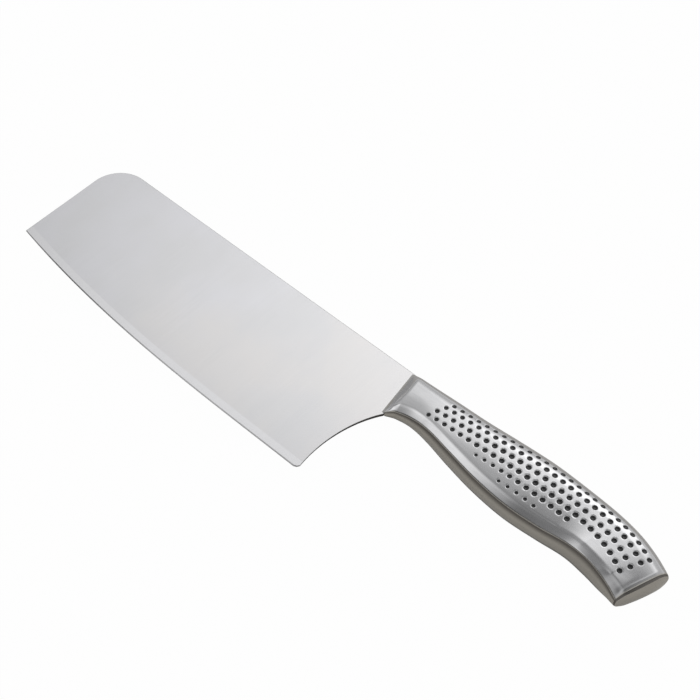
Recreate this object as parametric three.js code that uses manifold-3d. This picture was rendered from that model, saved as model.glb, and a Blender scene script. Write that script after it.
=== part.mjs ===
// Kitchen knife: a broad vegetable blade welded to a hollow, dimpled steel handle.
// Millimetres. X runs from the blade's tip to the handle's butt, Y from the cutting edge
// to the spine, Z out of the left side. The knife is the same on both sides of Z = 0.
import * as THREE from 'three';
import Module from 'manifold-3d';

const wasm = await Module();
wasm.setup();

// Driving dimensions

const blade = {
  length: 174.6,          // tip to the spine end of the neck
  depth: 65.2,            // spine to the lowest point of the cutting edge
  spineThickness: 2.0,
  edgeThickness: 0.56,    // behind the edge bevel
  edgeLand: 0.1,          // width left at the very edge
  bevelWidth: 0.5,
  bevelAtHeel: 0.4,       // width of the bevel where it runs out at the heel
  edgeRise: 10.3,         // how far the edge climbs from its lowest point to the tip
  edgeLowPoint: 0.17,     // where the edge is lowest, as a share of the length from the heel
  edgeSweep: 2.6,         // power of the edge curve
  tipRadius: 14.5,
  heelRadius: 2.2,
  heelTurn: 0.85,         // share of a quarter turn that the heel's corner goes through
  heelSetback: 1.9,       // heel ahead of the neck
  heelArm: [-2.5, 15.3],  // arms of the hollow curve between the heel and the neck
  neckArm: [-6.5, -10],
  tangLength: 12.5,
  tangFrom: 0.22,         // tang edges, as shares of the neck line from the spine
  tangTo: 0.78,
  tangTaper: 0.03,        // what each edge of the tang draws in, in the same shares
};

const handle = {
  length: 132.6,
  width: 30.4,
  thickness: 15.4,
  wall: 1.4,
  bellyBulge: 1.0,        // how far the belly face bows out between its two creases
  bulgeHeight: 4.0,       // height of the crease below which the bow grows less
  crownShare: 0.5,        // share of the side's fall that is a plain parabola
  band: 3.3,              // width of the shoulder band above the belly crease, which takes the rest
  bandSoft: 0.3,          // softness of the band's upper border, as a share of its width
};

const neck = {
  spine: 2.0,             // spine end of the line where the shells meet the blade
  belly: 5.5,
  bellyDepth: 22.8,
  height: 1.9,            // half thickness of the shells' front
  crease: 1.52,           // height of the belly crease there, and the crown's distance from the spine
  weldReach: 1.35,        // how far the fillet weld runs out on the blade
  weldLeast: 0.2,         // its height at the ends, where the shells' front runs low
};

const seam = { depth: 0.7, half: 0.5 };
const butt = { rim: 0.65, taper: 0.35, bulge: 1.3, groove: 0.4, spigot: 2.2 };
const roll = { from: 0.975, drop: 0.12 };   // the crown rolls down to the butt by this share of it
const sand = { behindTang: 4, to: 0.6 };    // to is a share of the way along the stations
const gap = { fit: 0.3, weld: 0.18, joint: 0.1, bead: 0.02 };
const dimple = { diameter: 2.1, depth: 0.6, pitch: 4.01, sides: 8 };

// Rows of dimples: first and last dimple as shares of the way along the stations, and the
// row's distance from the spine seam round the surface, at even steps along the row.
const dimpleRows = [
  { from: 0.2029, to: 0.9234, round: [9.03, 8.85, 8.57, 7.98] },
  { from: 0.1881, to: 0.9187, round: [11.66, 12.0, 11.75, 11.55] },
  { from: 0.174, to: 0.9157, round: [14.92, 15.63, 15.64, 15.95] },
  { from: 0.1602, to: 0.9119, round: [18.29, 19.64, 19.51, 20.37] },
  { from: 0.3609, to: 0.643, round: [23.36, 23.62, 23.05] },
  { from: 0.4511, to: 0.5572, round: [27.87, 27.72] },
];

// The handle's stations from the neck to the butt. Rail points are shares of the handle's
// length and width. Crest, shoulder and back are the height of the side's crown, the height
// of the belly crease and the distance of the crown from the spine, as shares of half the
// thickness.
const stations = [
  { spine: [0.041, 0.003], belly: [0.065, -0.684], crest: 0.65, shoulder: 0.33, back: 0.65 },
  { spine: [0.106, 0.013], belly: [0.118, -0.641], crest: 0.74, shoulder: 0.42, back: 0.78 },
  { spine: [0.196, 0.030], belly: [0.189, -0.664], crest: 0.84, shoulder: 0.58, back: 0.91 },
  { spine: [0.302, 0.046], belly: [0.286, -0.750], crest: 0.94, shoulder: 0.66, back: 1.04 },
  { spine: [0.422, 0.086], belly: [0.399, -0.839], crest: 0.99, shoulder: 0.66, back: 1.10 },
  { spine: [0.543, 0.115], belly: [0.520, -0.885], crest: 1.00, shoulder: 0.64, back: 1.10 },
  { spine: [0.664, 0.102], belly: [0.633, -0.859], crest: 0.97, shoulder: 0.62, back: 1.10 },
  { spine: [0.777, 0.069], belly: [0.730, -0.809], crest: 0.92, shoulder: 0.68, back: 1.04 },
  { spine: [0.867, 0.003], belly: [0.805, -0.829], crest: 0.86, shoulder: 0.77, back: 0.97 },
  { spine: [0.939, -0.099], belly: [0.872, -0.905], crest: 0.73, shoulder: 0.69, back: 0.91 },
  { spine: [1.000, -0.222], belly: [0.936, -0.997], crest: 0.70, shoulder: 0.17, back: 0.78 },
];

// Handle form

const rail = (side) => new THREE.SplineCurve(
  stations.map((s) => new THREE.Vector2(s[side][0] * handle.length, s[side][1] * handle.width)),
);
const half = handle.thickness / 2;
const spineRail = rail('spine');
const bellyRail = rail('belly');
const heightRail = new THREE.SplineCurve(
  stations.map((s) => new THREE.Vector2(s.crest * half, s.shoulder * half)),
);
const backRail = new THREE.SplineCurve(stations.map((s) => new THREE.Vector2(s.back * half, 0)));

// One cross-section's frame: spine point, direction to the belly, direction to the butt.
function frameOf(spine, belly, crest, shoulder, back) {
  const width = spine.distanceTo(belly);
  const across = belly.clone().sub(spine).divideScalar(width);
  const along = new THREE.Vector2(-across.y, across.x);
  return { spine, width, across, along, crest, shoulder, back };
}

function stationAt(u) {
  const heights = heightRail.getPoint(u);
  const rolled = roll.drop * (Math.max(0, u - roll.from) / (1 - roll.from)) ** 2;
  const crest = heights.x * (1 - rolled);
  const back = backRail.getPoint(u).x;
  return frameOf(spineRail.getPoint(u), bellyRail.getPoint(u), crest, heights.y, back);
}

const front = frameOf(
  new THREE.Vector2(neck.spine, 0),
  new THREE.Vector2(neck.belly, -neck.bellyDepth),
  neck.height,
  neck.crease,
  neck.crease,
);

// Least share of the crease height and of the spine's roundness that stays in an inset section.
const insetLeast = { shoulder: 0.4, back: 0.5 };

// A ramp that is 0 below 0 and climbs with x above it, with a soft bend between.
function softRamp(x, soft) {
  return Math.abs(x) < soft ? (x + soft) ** 2 / (4 * soft) : Math.max(x, 0);
}

// Upper half of a section as (distance from the spine, height), spine to belly. Inset
// shrinks it by a wall; foot is the height at which it starts and ends.
function outline(station, inset, foot, steps) {
  const crest = station.crest - inset;
  const shoulder = Math.max(station.shoulder - inset, insetLeast.shoulder * station.shoulder);
  const back = Math.max(station.back - inset, insetLeast.back * station.back);
  const width = station.width - 2 * inset;
  const bulge = handle.bellyBulge * Math.min(1, shoulder / handle.bulgeHeight);
  const sideWidth = width - bulge - back;
  const points = [];
  const start = Math.asin(foot / crest);
  for (let i = 0; i <= steps.spine; i += 1) {
    const angle = start + (Math.PI / 2 - start) * (i / steps.spine);
    points.push([back * (1 - Math.cos(angle)), crest * Math.sin(angle)]);
  }
  for (let i = 1; i <= steps.side; i += 1) {
    const t = Math.sin((Math.PI / 2) * (i / steps.side));
    const bend = softRamp(1 - ((1 - t) * sideWidth) / handle.band, handle.bandSoft);
    const fall = handle.crownShare * t ** 2 + (1 - handle.crownShare) * bend;
    points.push([back + sideWidth * t, crest - (crest - shoulder) * fall]);
  }
  for (let i = 1; i <= steps.belly; i += 1) {
    const z = shoulder + (foot - shoulder) * (i / steps.belly);
    points.push([width - bulge * (z / shoulder) ** 2, z]);
  }
  return points.map(([o, z]) => [o + inset, z]);
}

// A section point in space: o across from the spine, n along the handle, z up.
function place(station, o, n, z) {
  return [
    station.spine.x + station.across.x * o + station.along.x * n,
    station.spine.y + station.across.y * o + station.along.y * n,
    z,
  ];
}

// Steps round a section: of the outside, of the hollow and what lies in it, and of the
// finer line along which the dimples are set out.
const fine = { spine: 7, side: 9, belly: 3 };
const coarse = { spine: 4, side: 5, belly: 2 };
const finest = { spine: 24, side: 24, belly: 4 };

const ringCount = 34;           // sections along the shells up to the roll at the butt
const hollowStep = 2;           // the hollow starts at this section and uses each one so far on
const foot = 0.06;              // height at which whole sections close on the spine and the belly
const overrun = 1;              // how far a cut runs past what it cuts

// Sections along the shells, short of the last one.
const sections = Array.from({ length: ringCount }, (_, i) => (roll.from * i) / (ringCount - 1));
sections.push((roll.from + 1) / 2);

// Mesh building

function geometryOf(positions, indices) {
  const geometry = new THREE.BufferGeometry();
  geometry.setAttribute('position', new THREE.Float32BufferAttribute(positions, 3));
  geometry.setIndex(indices);
  return geometry;
}

// Skin over closed rings of equal length, closed across the first and the last ring. The end
// rings are filled in a slanting view, in which no ring is seen edge on.
function loft(rings) {
  const count = rings[0].length;
  const positions = rings.flat(2);
  const indices = [];
  for (let r = 0; r + 1 < rings.length; r += 1) {
    for (let i = 0; i < count; i += 1) {
      const a = r * count + i;
      const b = r * count + ((i + 1) % count);
      indices.push(a, b, a + count, b, b + count, a + count);
    }
  }
  [0, rings.length - 1].forEach((r) => {
    const ring = rings[r];
    const flat = ring.map((p) => new THREE.Vector2(p[1] - p[0], p[2]));
    const shape = THREE.ShapeUtils.triangulateShape(flat, []);
    const turned = THREE.ShapeUtils.area(flat) > 0;
    shape.forEach(([a, b, c]) => {
      const face = (r === 0) === turned ? [a, c, b] : [a, b, c];
      indices.push(...face.map((i) => r * count + i));
    });
  });
  return geometryOf(positions, indices);
}

function solid(geometry) {
  const index = Array.from(geometry.index.array);
  const mesh = new wasm.Mesh({
    numProp: 3,
    vertProperties: new Float32Array(geometry.attributes.position.array),
    triVerts: new Uint32Array(index),
  });
  mesh.merge();
  return new wasm.Manifold(mesh);
}

function geometryFrom(manifold) {
  const mesh = manifold.getMesh();
  return geometryOf(Array.from(mesh.vertProperties), Array.from(mesh.triVerts));
}

// The same body on the other side of Z = 0.
function mirrored(geometry) {
  const copy = geometry.clone();
  copy.scale(1, 1, -1);
  const index = copy.index.array;
  for (let i = 0; i < index.length; i += 3) {
    [index[i], index[i + 1]] = [index[i + 1], index[i]];
  }
  return copy;
}

// Blade: flat-ground sides, curved edge with a narrow bevel, rounded tip, tang

const taper = (blade.spineThickness - blade.edgeThickness) / 2 / blade.depth;
const bladeHalf = (y) => blade.spineThickness / 2 + taper * Math.min(y, 0);

function edgeY(x) {
  const low = -blade.edgeLowPoint * blade.length;
  const run = Math.max(0, low - x) / (blade.length + low);
  return -blade.depth + blade.edgeRise * run ** blade.edgeSweep;
}

function makeBlade() {
  const edge = [];
  const heelX = -blade.heelSetback;
  const heelSteps = 3;
  for (let i = heelSteps; i >= 1; i -= 1) {
    const a = (Math.PI / 2) * blade.heelTurn * (i / heelSteps);
    edge.push(new THREE.Vector2(
      heelX - blade.heelRadius * (1 - Math.sin(a)),
      -blade.depth + blade.heelRadius * (1 - Math.cos(a)),
    ));
  }
  const edgeSteps = 22;
  for (let i = 0; i <= edgeSteps; i += 1) {
    const x = heelX - blade.heelRadius - (blade.length - blade.heelRadius + heelX) * (i / edgeSteps);
    edge.push(new THREE.Vector2(x, edgeY(x)));
  }
  // The bevel's upper line, square to the edge, kept on the tip line and the heel line.
  const bevel = edge.map((p, i) => {
    const before = edge[Math.max(i - 1, 0)];
    const after = edge[Math.min(i + 1, edge.length - 1)];
    const run = after.clone().sub(before).normalize();
    return new THREE.Vector2(p.x + run.y * blade.bevelWidth, p.y - run.x * blade.bevelWidth);
  });
  bevel[0].set(edge[0].x, edge[0].y + blade.bevelAtHeel);
  bevel[edge.length - 1].set(-blade.length, edge[edge.length - 1].y + blade.bevelWidth);

  const body = new THREE.Path();
  const last = bevel[bevel.length - 1];
  body.moveTo(last.x, last.y);
  body.lineTo(-blade.length, -blade.tipRadius);
  const tipX = blade.tipRadius - blade.length;
  body.absarc(tipX, -blade.tipRadius, blade.tipRadius, Math.PI, Math.PI / 2, true);
  const neckPoint = (share, n) => place(front, share * front.width, n, 0);
  const shoulder = -gap.joint;
  [
    neckPoint(0, shoulder),
    neckPoint(blade.tangFrom, shoulder),
    neckPoint(blade.tangFrom + blade.tangTaper, blade.tangLength),
    neckPoint(blade.tangTo - blade.tangTaper, blade.tangLength),
    neckPoint(blade.tangTo, shoulder),
    neckPoint(1, shoulder),
  ].forEach(([x, y]) => body.lineTo(x, y));
  const [neckX, neckY] = neckPoint(1, shoulder);
  const heel = bevel[0];
  body.bezierCurveTo(
    neckX + blade.neckArm[0],
    neckY + blade.neckArm[1],
    heel.x + blade.heelArm[0],
    heel.y + blade.heelArm[1],
    heel.x,
    heel.y,
  );
  const curveSteps = 9;
  const rim = body.getPoints(curveSteps).slice(1, -1);
  const face = [...bevel, ...rim];
  const wall = face.length;
  const positions = [];
  [1, -1].forEach((side) => {
    face.forEach((p) => positions.push(p.x, p.y, side * bladeHalf(p.y)));
    edge.forEach((p) => positions.push(p.x, p.y, (side * blade.edgeLand) / 2));
  });
  const under = wall + edge.length;
  const indices = [];
  THREE.ShapeUtils.triangulateShape(face, []).forEach(([a, b, c]) => {
    const turned = THREE.ShapeUtils.area([face[a], face[b], face[c]]) > 0;
    const [p, q, r] = turned ? [a, b, c] : [a, c, b];
    indices.push(p, q, r, under + p, under + r, under + q);
  });
  // Points run clockwise seen from the left side.
  const quad = (a, b, c, d) => indices.push(a, b, c, a, c, d);
  for (let i = 0; i + 1 < edge.length; i += 1) {
    quad(i, i + 1, wall + i + 1, wall + i);
    quad(under + wall + i, under + wall + i + 1, under + i + 1, under + i);
    quad(wall + i, wall + i + 1, under + wall + i + 1, under + wall + i);
  }
  for (let i = edge.length - 1; i < wall; i += 1) {
    const next = (i + 1) % wall;
    quad(i, next, under + next, under + i);
  }
  const end = edge.length - 1;
  quad(end, under + end, under + wall + end, wall + end);
  quad(0, wall, under + wall, under);
  return geometryOf(positions, indices);
}

// Handle shells: pressed half shells with a blunt nose, seam grooves and dimples

function shellRing(station, n, inset) {
  const points = outline(station, inset, seam.half, fine);
  const depth = seam.depth + inset;
  const ring = [[depth, 0], ...points, [station.width - depth, 0]];
  return ring.map(([o, z]) => place(station, o, n, z));
}

// A half section inside the wall that reaches below the seam, for cutting the hollow.
function hollowRing(station, n) {
  const points = outline(station, handle.wall, foot, coarse);
  const ends = [[handle.wall, -overrun], [station.width - handle.wall, -overrun]];
  return [ends[0], ...points, ends[1]].map(([o, z]) => place(station, o, n, z));
}

function dimpleCutters() {
  const samples = 120;
  return dimpleRows.flatMap((row) => {
    const steps = row.round.map((round) => new THREE.Vector2(round, 0));
    const distance = new THREE.SplineCurve(steps);
    const track = [];
    for (let i = 0; i <= samples; i += 1) {
      const t = i / samples;
      track.push(surfaceAt(row.from + (row.to - row.from) * t, distance.getPoint(t).x));
    }
    const path = track.map((spot, i) => (i ? spot.point.distanceTo(track[i - 1].point) : 0));
    const whole = path.reduce((sum, step) => sum + step, 0);
    const gaps = Math.round(whole / dimple.pitch);
    const cutters = [];
    let walked = 0;
    for (let i = 0; i < samples; i += 1) {
      walked += path[i];
      while (cutters.length <= gaps) {
        const share = ((whole * cutters.length) / gaps - walked) / path[i + 1];
        if (share > 1 && i + 1 < samples) {
          break;
        }
        const along = track[i + 1].point.clone().sub(track[i].point);
        const point = track[i].point.clone().addScaledVector(along, share);
        cutters.push(dimpleCutter(point, track[i].tangent, along));
      }
    }
    return cutters;
  });
}

// The surface point a given distance round from the spine seam, with the tangent there.
function surfaceAt(u, round) {
  const station = stationAt(u);
  const points = outline(station, 0, 0, finest);
  let walked = 0;
  for (let i = 1; i < points.length; i += 1) {
    const [o0, z0] = points[i - 1];
    const [o1, z1] = points[i];
    const step = Math.hypot(o1 - o0, z1 - z0);
    if (walked + step >= round) {
      const share = (round - walked) / step;
      const o = o0 + (o1 - o0) * share;
      const z = z0 + (z1 - z0) * share;
      const tangent = new THREE.Vector3(
        station.across.x * (o1 - o0),
        station.across.y * (o1 - o0),
        z1 - z0,
      );
      return { point: new THREE.Vector3(...place(station, o, 0, z)), tangent };
    }
    walked += step;
  }
  const end = new THREE.Vector3(...place(station, station.width, 0, 0));
  return { point: end, tangent: new THREE.Vector3(0, 0, -1) };
}

function dimpleCutter(point, across, along) {
  const normal = along.clone().cross(across).normalize();
  if (normal.z < 0) {
    normal.negate();
  }
  // A cone with its point at the dimple's bottom, drawn out as far again above the surface.
  const cutter = new THREE.ConeGeometry(dimple.diameter, 2 * dimple.depth, dimple.sides);
  const turn = new THREE.Quaternion().setFromUnitVectors(new THREE.Vector3(0, -1, 0), normal);
  cutter.applyQuaternion(turn);
  cutter.translate(point.x, point.y, point.z);
  return cutter;
}

function makeShell() {
  const rings = [shellRing(front, 0, 0)];
  sections.forEach((u) => rings.push(shellRing(stationAt(u), 0, 0)));
  const last = stationAt(1);
  rings.push(shellRing(last, -butt.groove, 0), shellRing(last, 0, butt.groove));
  const body = solid(loft(rings));

  const hollow = [];
  for (let i = hollowStep; i < sections.length; i += hollowStep) {
    hollow.push(hollowRing(stationAt(sections[i]), 0));
  }
  hollow.push(hollowRing(last, overrun));
  const cavity = solid(loft(hollow));

  const slotFrom = blade.tangFrom * front.width - gap.fit;
  const slotTo = blade.tangTo * front.width + gap.fit;
  const slotEnd = blade.tangLength + gap.fit;
  const slot = new THREE.Shape([
    [slotFrom, -overrun],
    [slotFrom, slotEnd],
    [slotTo, slotEnd],
    [slotTo, -overrun],
  ].map(([o, n]) => new THREE.Vector2(...place(front, o, n, 0))));
  const slotHeight = blade.spineThickness / 2 + gap.joint;
  const slotCut = { depth: slotHeight + overrun, bevelEnabled: false };
  const slotGeometry = new THREE.ExtrudeGeometry(slot, slotCut);
  slotGeometry.translate(0, 0, -overrun);

  let shell = body.subtract(cavity).subtract(solid(indexed(slotGeometry)));
  dimpleCutters().forEach((cutter) => {
    shell = shell.subtract(solid(indexed(cutter)));
  });
  return geometryFrom(shell);
}

// Corners that fall together are shared, so that the surface closes.
function indexed(geometry) {
  const cornersPerUnit = 1e4;
  const source = geometry.index ? geometry.toNonIndexed() : geometry;
  const spots = new Map();
  const positions = [];
  const indices = [];
  const values = source.attributes.position;
  for (let i = 0; i < values.count; i += 1) {
    const p = [values.getX(i), values.getY(i), values.getZ(i)];
    const key = p.map((v) => Math.round(v * cornersPerUnit)).join(' ');
    if (!spots.has(key)) {
      spots.set(key, spots.size);
      positions.push(...p);
    }
    indices.push(spots.get(key));
  }
  const kept = [];
  for (let i = 0; i < indices.length; i += 3) {
    const [a, b, c] = indices.slice(i, i + 3);
    if (a !== b && b !== c && a !== c) {
      kept.push(a, b, c);
    }
  }
  return geometryOf(positions, kept);
}

// Butt cap: end plate with a bowed back and a spigot inside the shells

// A whole section, upper and lower half, set off along the handle by a rule of its width.
function wholeRing(station, inset, steps, offset) {
  const upper = outline(station, inset, foot, steps);
  const lower = upper.slice().reverse().map(([o, z]) => [o, -z]);
  return [...upper, ...lower].map(([o, z]) => place(station, o, offset(o), z));
}

const level = (n) => () => n;

function makeButtCap() {
  const last = stationAt(1);
  const bow = (o) => {
    const v = Math.min(1, Math.max(0, o / last.width));
    return butt.rim + butt.bulge * 4 * v * (1 - v);
  };
  const plate = loft([
    wholeRing(last, butt.groove, fine, level(gap.joint)),
    wholeRing(last, 0, fine, level(gap.joint + butt.groove)),
    wholeRing(last, butt.taper, fine, bow),
  ]);
  const spigotInset = handle.wall + gap.fit;
  const spigot = loft([
    wholeRing(last, spigotInset, fine, level(-butt.spigot)),
    wholeRing(last, spigotInset, fine, level(gap.joint + butt.groove)),
  ]);
  return geometryFrom(solid(plate).add(solid(spigot)));
}

// Welds

// Bead in a seam groove: flush outside, pointed inside.
function makeSeamWeld(fromSpine) {
  const rings = [];
  const depth = seam.depth - gap.weld;
  const addRing = (station, n) => {
    const points = outline(station, 0, seam.half * (depth / seam.depth), fine);
    const [o, z] = fromSpine ? points[0] : points[points.length - 1];
    const edge = fromSpine ? 0 : station.width;
    const root = fromSpine ? depth : station.width - depth;
    const ring = [[root, 0], [o, -z], [edge, 0], [o, z]];
    rings.push(ring.map(([across, up]) => place(station, across, n, up)));
  };
  addRing(front, 0);
  sections.forEach((u) => addRing(stationAt(u), 0));
  addRing(stationAt(1), -butt.groove - gap.joint);
  return outward(loft(rings));
}

// Fillet bead along the neck, from the blade's side up to the shell's front.
function makeNeckWeld() {
  const rings = [];
  const points = outline(front, 0, seam.half, fine);
  points.slice(1, -2).forEach(([o, z]) => {
    const lift = (n) => bladeHalf(place(front, o, n, 0)[1]) + gap.bead;
    const toe = -neck.weldReach;
    const heel = -gap.joint;
    rings.push([
      place(front, o, toe, lift(toe)),
      place(front, o, heel, lift(heel)),
      place(front, o, heel, Math.max(z, lift(heel) + neck.weldLeast)),
    ]);
  });
  return outward(loft(rings));
}

// Bead round the joint of the shells and the butt cap.
function makeButtWeld() {
  const last = stationAt(1);
  const reach = butt.groove - gap.weld;
  const seat = gap.joint / 2;
  const rings = [
    wholeRing(last, 0, fine, level(seat - reach)),
    wholeRing(last, reach, fine, level(seat)),
    wholeRing(last, 0, fine, level(seat + reach)),
  ];
  const count = rings[0].length;
  const indices = [];
  rings.forEach((ring, r) => {
    const next = (r + 1) % rings.length;
    for (let i = 0; i < count; i += 1) {
      const j = (i + 1) % count;
      const a = r * count + i;
      const b = r * count + j;
      const c = next * count + i;
      const d = next * count + j;
      indices.push(a, b, c, b, d, c);
    }
  });
  return outward(geometryOf(rings.flat(2), indices));
}

// Fill: a lump of balance sand in the hollow behind the tang

function makeSand() {
  const start = blade.tangLength + sand.behindTang;
  const behindNeck = (point) => point.clone().sub(front.spine).dot(front.along);
  const rings = [];
  for (let i = hollowStep; sections[i] <= sand.to; i += hollowStep) {
    const station = stationAt(sections[i]);
    const belly = station.spine.clone().addScaledVector(station.across, station.width);
    if (Math.min(behindNeck(station.spine), behindNeck(belly)) > start) {
      rings.push(wholeRing(station, handle.wall + gap.fit, coarse, level(0)));
    }
  }
  return outward(loft(rings));
}

// Faces turned outward, whichever way the rings ran.
function outward(geometry) {
  const p = geometry.attributes.position;
  const index = geometry.index.array;
  const corner = (i) => new THREE.Vector3().fromBufferAttribute(p, index[i]);
  let volume = 0;
  for (let i = 0; i < index.length; i += 3) {
    volume += corner(i).dot(corner(i + 1).cross(corner(i + 2)));
  }
  if (volume < 0) {
    for (let i = 0; i < index.length; i += 3) {
      [index[i], index[i + 1]] = [index[i + 1], index[i]];
    }
  }
  return geometry;
}

// Assembly

const steel = { color: 0xc6c8ca, metalness: 1, roughness: 0.35 };
const finishes = {
  blade: { color: 0xd0d2d4, metalness: 1, roughness: 0.3 },
  sand: { color: 0xb8a67e, metalness: 0, roughness: 0.95 },
  weld: { color: 0xbcbec0, metalness: 1, roughness: 0.4 },
};

const left = makeShell();
const neckWeld = makeNeckWeld();
const pieces = [
  ['blade', makeBlade(), finishes.blade],
  ['handle_shell_left', left, steel],
  ['handle_shell_right', mirrored(left), steel],
  ['butt_cap', makeButtCap(), steel],
  ['balance_sand', makeSand(), finishes.sand],
  ['spine_seam_weld', makeSeamWeld(true), finishes.weld],
  ['belly_seam_weld', makeSeamWeld(false), finishes.weld],
  ['neck_weld_left', neckWeld, finishes.weld],
  ['neck_weld_right', mirrored(neckWeld), finishes.weld],
  ['butt_weld', makeButtWeld(), finishes.weld],
];

// The frame's origin is the middle of the whole knife.
const box = new THREE.Box3();
pieces.forEach(([, geometry]) => {
  geometry.computeBoundingBox();
  box.union(geometry.boundingBox);
});
const middle = box.getCenter(new THREE.Vector3());

const knife = new THREE.Group();
knife.name = 'kitchen_knife';
pieces.forEach(([name, geometry, finish]) => {
  geometry.translate(-middle.x, -middle.y, -middle.z);
  geometry.computeVertexNormals();
  const mesh = new THREE.Mesh(geometry, new THREE.MeshStandardMaterial(finish));
  mesh.name = name;
  knife.add(mesh);
});

export default knife;
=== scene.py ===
"""A kitchen knife: a broad satin blade welded to a hollow steel handle with enamelled dimples."""
import math

import bmesh
import bpy
import numpy as np
from bpy.props import FloatProperty, FloatVectorProperty, IntProperty, PointerProperty
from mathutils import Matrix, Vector


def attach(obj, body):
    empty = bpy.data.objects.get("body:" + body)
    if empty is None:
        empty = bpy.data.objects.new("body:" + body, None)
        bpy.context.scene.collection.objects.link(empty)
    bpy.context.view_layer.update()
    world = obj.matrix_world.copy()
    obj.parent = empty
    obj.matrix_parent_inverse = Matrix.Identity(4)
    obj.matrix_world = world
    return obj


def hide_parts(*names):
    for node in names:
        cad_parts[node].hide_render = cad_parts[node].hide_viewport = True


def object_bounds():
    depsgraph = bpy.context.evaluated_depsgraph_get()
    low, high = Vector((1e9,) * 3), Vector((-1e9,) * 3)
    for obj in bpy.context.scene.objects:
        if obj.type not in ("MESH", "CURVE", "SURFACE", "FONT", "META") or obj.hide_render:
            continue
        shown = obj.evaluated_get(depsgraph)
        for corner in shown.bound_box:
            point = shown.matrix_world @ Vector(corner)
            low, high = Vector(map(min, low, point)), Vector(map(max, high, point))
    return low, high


bl_info = {
    "name": "Kitchen Knife",
    "version": (1, 0, 0),
    "blender": (4, 5, 0),
    "location": "View3D > Sidebar > Knife",
    "description": "Builds a kitchen knife with a satin blade and a dimpled hollow steel handle",
    "category": "Object",
}

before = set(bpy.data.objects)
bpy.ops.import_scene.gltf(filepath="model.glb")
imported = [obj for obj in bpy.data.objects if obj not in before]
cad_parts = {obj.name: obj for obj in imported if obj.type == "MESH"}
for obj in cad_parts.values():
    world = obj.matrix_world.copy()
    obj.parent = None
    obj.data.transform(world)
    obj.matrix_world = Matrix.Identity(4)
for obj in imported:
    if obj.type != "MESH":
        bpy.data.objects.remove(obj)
CAD_LOW, CAD_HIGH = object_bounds()

BODY = "root"
MM = 0.001

# Handle stations from the neck to the butt: spine point and belly point as shares of the
# handle's length and width, then crown height, crease height and the crown's distance from
# the spine as shares of half the thickness.
STATIONS = np.array((
    (0.041, 0.003, 0.065, -0.684, 0.65, 0.33, 0.65),
    (0.106, 0.013, 0.118, -0.641, 0.74, 0.42, 0.78),
    (0.196, 0.030, 0.189, -0.664, 0.84, 0.58, 0.91),
    (0.302, 0.046, 0.286, -0.750, 0.94, 0.66, 1.04),
    (0.422, 0.086, 0.399, -0.839, 0.99, 0.66, 1.10),
    (0.543, 0.115, 0.520, -0.885, 1.00, 0.64, 1.10),
    (0.664, 0.102, 0.633, -0.859, 0.97, 0.62, 1.10),
    (0.777, 0.069, 0.730, -0.809, 0.92, 0.68, 1.04),
    (0.867, 0.003, 0.805, -0.829, 0.89, 0.77, 0.97),
    (0.939, -0.099, 0.872, -0.893, 0.83, 0.66, 0.91),
    (1.000, -0.222, 0.938, -0.972, 0.70, 0.30, 0.78),
))

# Dimple rows: first and last dimple as shares of the way along the stations; the row's
# distance round the surface from the spine seam, in millimetres at even steps along the row;
# and the size of its dimples, as a share of the full size, at even steps too.
DIMPLE_ROWS = (
    (0.2029, 0.9234, (9.03, 8.85, 8.57, 8.95), (0.84, 0.90, 0.92, 0.95)),
    (0.1881, 0.9187, (11.66, 12.00, 11.75, 12.55), (0.84, 0.96, 1.00, 1.00)),
    (0.1740, 0.9157, (14.92, 15.63, 15.64, 16.95), (0.90, 1.04, 1.00, 1.00)),
    (0.1602, 0.9119, (18.29, 19.64, 19.51, 21.35), (0.84, 1.00, 1.08, 1.02)),
    (0.3609, 0.6430, (23.36, 23.62, 23.05), (0.66, 0.98, 1.06)),
    (0.4511, 0.5572, (27.87, 27.72), (0.66, 0.76)),
)


# Settings

def length(description, millimetres):
    """A length property, given in millimetres and kept in metres."""
    return FloatProperty(
        description=description, default=millimetres * MM, unit="LENGTH", precision=5
    )


def share(description, default):
    """A plain number that shapes a curve."""
    return FloatProperty(description=description, default=default, precision=4)


def colour(description, default):
    """A linear colour."""
    return FloatVectorProperty(
        description=description, default=default, subtype="COLOR", min=0, max=1
    )


def arm(description, millimetres):
    """A curve's control arm in the plane of the blade."""
    return FloatVectorProperty(
        description=description,
        default=[value * MM for value in millimetres],
        size=2,
        subtype="TRANSLATION",
        unit="LENGTH",
        precision=5,
    )


def named(group):
    """Names a group's settings after their keys."""
    for key, setting in group.__annotations__.items():
        setting.keywords["name"] = key.replace("_", " ").capitalize()
    return group


@named
class BladeSettings(bpy.types.PropertyGroup):
    """Sizes of the blade."""

    length: length("Tip to the spine end of the neck", 174.6)
    depth: length("Spine to the lowest point of the edge", 65.2)
    spine_thickness: length("Thickness along the spine", 2.0)
    edge_thickness: length("Thickness behind the edge bevel", 0.56)
    edge_land: length("Thickness left at the very edge", 0.1)
    bevel_width: length("Width of the edge bevel", 0.5)
    edge_rise: length("Climb of the edge from its lowest point to the tip", 10.3)
    edge_low_point: share("Where the edge is lowest, from the heel", 0.17)
    edge_sweep: share("Power of the edge curve", 2.6)
    tip_radius: length("Radius of the rounded tip", 14.5)
    heel_radius: length("Radius of the heel's corner", 2.2)
    heel_turn: share("Share of a quarter turn in the heel's corner", 0.85)
    heel_setback: length("Heel ahead of the neck", 1.9)
    heel_arm: arm("Arm of the hollow curve at the heel", (-2.5, 15.3))
    neck_arm: arm("Arm of the hollow curve at the neck", (-6.5, -10.0))
    edge_break: length("Width of the broken edges round the blade", 0.22)


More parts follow.
